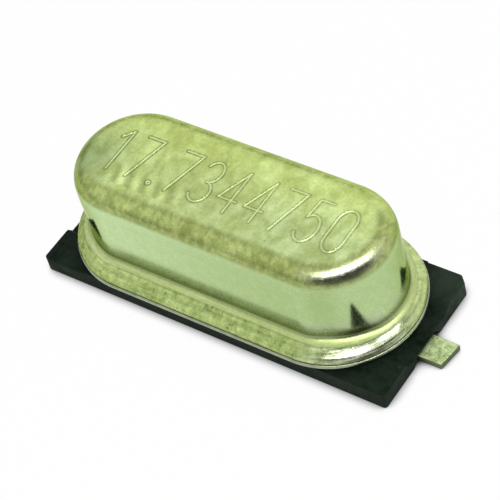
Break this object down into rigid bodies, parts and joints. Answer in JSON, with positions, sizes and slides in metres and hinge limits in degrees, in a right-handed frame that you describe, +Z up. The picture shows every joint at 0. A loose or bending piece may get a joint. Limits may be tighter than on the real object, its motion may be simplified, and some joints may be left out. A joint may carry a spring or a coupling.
{
  "type": "surface-mount quartz crystal",
  "caption": "Short round-ended metal can welded to a flanged base on a black insulator plate, with flat solder feet at the ends; it sets the clock frequency of a circuit.",
  "frame": {"origin": "on the seating plane, midway between the two leads", "axes": "+X along the can towards one lead, +Y across it, +Z up from the seating plane to the can's top"},
  "size_m": [0.0124, 0.005, 0.004],
  "materials": {
    "plate_plastic": "moulded, dull black with a green cast",
    "base_metal": "nickel-plated steel, satin",
    "can_metal": "drawn plated steel, satin with a yellow-green cast",
    "seal_glass": "fused sealing glass",
    "lead_metal": "tinned alloy wire, flattened",
    "clip_metal": "thin rolled strip",
    "quartz": "lapped and polished crystal",
    "electrode_metal": "vapour-deposited silver film",
    "conductive_glue": "silver-filled resin"
  },
  "bodies": {
    "root": {"insulator_plate": "plate_plastic", "base": "base_metal", "can": "can_metal", "glass_seal_left": "seal_glass", "glass_seal_right": "seal_glass", "lead_left": "lead_metal", "lead_right": "lead_metal", "spring_clip_left": "clip_metal", "spring_clip_right": "clip_metal", "quartz_blank": "quartz", "electrode_top": "electrode_metal", "electrode_bottom": "electrode_metal", "glue_dot_left": "conductive_glue", "glue_dot_right": "conductive_glue"}
  },
  "joints": []
}
